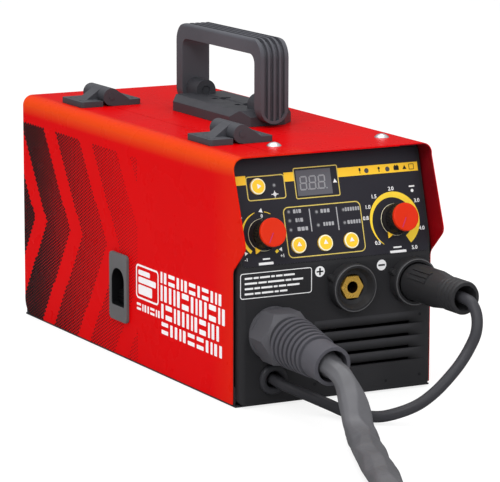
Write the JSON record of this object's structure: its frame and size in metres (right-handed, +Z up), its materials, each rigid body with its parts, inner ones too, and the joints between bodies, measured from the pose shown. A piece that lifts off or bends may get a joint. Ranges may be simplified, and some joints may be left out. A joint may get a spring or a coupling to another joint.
{
  "type": "wire-feed arc welding machine",
  "caption": "Portable wire-feed arc welder: red sheet case with hinged side door, folding handle, sloped control face, panel sockets, ribbed torch outlet, polarity lead and torch.",
  "frame": {"origin": "middle of the underside of the base tray", "axes": "+Z up, -Y towards the control face, +X to the right seen from the front"},
  "size_m": [0.3129, 1.0794, 0.271],
  "materials": {
    "red_paint": "gloss",
    "dark_sheet": "satin",
    "black_moulding": "satin",
    "printed_overlay": "satin",
    "window_plastic": "smoked",
    "grey_plastic": "satin",
    "knob_black": "gloss",
    "cap_red": "gloss",
    "button_yellow": "satin",
    "brass": "machined",
    "steel": "bright",
    "lead_rubber": "matte",
    "relief_rubber": "matte",
    "cable_sleeve": "soft sheen",
    "board_green": "laminate",
    "aluminium": "extruded",
    "ferrite": "dull",
    "copper": "drawn",
    "capacitor_sleeve": "sleeved",
    "reel_plastic": "moulded",
    "gear_case": "die cast"
  },
  "bodies": {
    "case": {"base_tray": "dark_sheet", "partition": "dark_sheet", "front_panel": "black_moulding", "rear_panel": "black_moulding", "top_cover": "red_paint", "hinge_body_leaves": "grey_plastic", "hinge_pins": "steel", "handle_base": "grey_plastic", "cover_screws": "steel", "control_overlay": "printed_overlay", "display_window": "window_plastic", "control_board": "board_green", "panel_sockets": "black_moulding", "socket_inserts": "brass", "panel_nuts": "steel", "lead_plug": "lead_rubber", "plug_pin": "brass", "gland_nut": "grey_plastic", "strain_relief": "relief_rubber", "lead_grommet": "relief_rubber", "polarity_lead": "lead_rubber", "lead_lug": "copper", "torch_cable": "cable_sleeve", "torch_cable_coil": "cable_sleeve", "torch_handle": "black_moulding", "torch_neck": "brass", "torch_nozzle": "copper", "fan_frame": "reel_plastic", "fan_guard": "steel", "switch_body": "reel_plastic", "mains_gland": "reel_plastic", "power_board": "board_green", "heat_sinks": "aluminium", "transformer": "ferrite", "capacitors": "capacitor_sleeve", "spool_spindle": "reel_plastic", "feed_gearmotor": "gear_case"},
    "door": {"side_door": "red_paint", "hinge_door_leaves": "grey_plastic", "latch_bezel": "grey_plastic"},
    "latch": {"latch_slide": "black_moulding"},
    "handle": {"handle_loop": "grey_plastic", "handle_pins": "steel"},
    "voltage_dial": {"voltage_knob": "knob_black", "voltage_knob_cap": "cap_red"},
    "current_dial": {"current_knob": "knob_black", "current_knob_cap": "cap_red"},
    "feed_key": {"feed_button": "button_yellow"},
    "left_key": {"left_mode_button": "button_yellow"},
    "middle_key": {"middle_mode_button": "button_yellow"},
    "right_key": {"right_mode_button": "button_yellow"},
    "rocker": {"power_rocker": "cap_red"},
    "fan": {"fan_rotor": "reel_plastic"},
    "reel": {"wire_spool": "reel_plastic"},
    "reel_nut": {"spool_nut": "reel_plastic"},
    "driven_roll": {"drive_roll": "steel"},
    "arm": {"pressure_arm": "reel_plastic"},
    "idle_roll": {"pressure_roll": "steel"},
    "tensioner": {"tension_screw": "reel_plastic"},
    "trigger": {"torch_trigger": "cap_red"}
  },
  "joints": [
    {"name": "door_hinge", "type": "hinge", "parent": "case", "child": "door", "pos_m": [-0.05, 0, 0.206], "axis": [0, 1, 0], "range_deg": [0, 110]},
    {"name": "latch_slide_up", "type": "slide", "parent": "door", "child": "latch", "axis": [0, 0, 1], "range_m": [0, 0.008], "stiffness_N_per_m": 250},
    {"name": "handle_fold", "type": "hinge", "parent": "case", "child": "handle", "pos_m": [0.0145, 0.002, 0.214], "axis": [0, 1, 0], "range_deg": [-90, 90]},
    {"name": "voltage_turn", "type": "hinge", "parent": "case", "child": "voltage_dial", "pos_m": [-0.0635, -0.1992, 0.1352], "axis": [0, -0.9613, 0.2756], "range_deg": [-240, 60]},
    {"name": "current_turn", "type": "hinge", "parent": "case", "child": "current_dial", "pos_m": [0.0565, -0.19854, 0.1375], "axis": [0, -0.9613, 0.2756], "range_deg": [-240, 60]},
    {"name": "feed_press", "type": "slide", "parent": "case", "child": "feed_key", "axis": [0, 0.9613, -0.2756], "range_m": [0, 0.0008], "stiffness_N_per_m": 800},
    {"name": "left_press", "type": "slide", "parent": "case", "child": "left_key", "axis": [0, 0.9613, -0.2756], "range_m": [0, 0.0008], "stiffness_N_per_m": 800},
    {"name": "middle_press", "type": "slide", "parent": "case", "child": "middle_key", "axis": [0, 0.9613, -0.2756], "range_m": [0, 0.0008], "stiffness_N_per_m": 800},
    {"name": "right_press", "type": "slide", "parent": "case", "child": "right_key", "axis": [0, 0.9613, -0.2756], "range_m": [0, 0.0008], "stiffness_N_per_m": 800},
    {"name": "rocker_tilt", "type": "hinge", "parent": "case", "child": "rocker", "pos_m": [-0.058, 0.204, 0.15], "axis": [1, 0, 0], "range_deg": [0, 20]},
    {"name": "fan_spin", "type": "hinge", "parent": "case", "child": "fan", "pos_m": [0.033, 0.19, 0.1], "axis": [0, 1, 0], "continuous": true},
    {"name": "reel_spin", "type": "hinge", "parent": "case", "child": "reel", "pos_m": [-0.0555, 0.075, 0.1], "axis": [1, 0, 0], "continuous": true},
    {"name": "reel_nut_turn", "type": "hinge", "parent": "case", "child": "reel_nut", "pos_m": [-0.08, 0.075, 0.1], "axis": [1, 0, 0], "continuous": true},
    {"name": "drive_roll_spin", "type": "hinge", "parent": "case", "child": "driven_roll", "pos_m": [-0.058, -0.118, 0.0425], "axis": [1, 0, 0], "continuous": true},
    {"name": "arm_lift", "type": "hinge", "parent": "case", "child": "arm", "pos_m": [-0.05, -0.09, 0.0795], "axis": [-1, 0, 0], "range_deg": [0, 50]},
    {"name": "idle_roll_spin", "type": "hinge", "parent": "arm", "child": "idle_roll", "pos_m": [-0.058, -0.118, 0.0685], "axis": [1, 0, 0], "continuous": true},
    {"name": "tension_turn", "type": "hinge", "parent": "arm", "child": "tensioner", "pos_m": [-0.058, -0.143, 0.08], "axis": [0, 0, 1], "range_deg": [-180, 180]},
    {"name": "trigger_press", "type": "hinge", "parent": "case", "child": "trigger", "pos_m": [0.04946, -0.587, 0.0395], "axis": [0, 0, 1], "range_deg": [0, 6], "stiffness_Nm_per_rad": 0.3}
  ]
}
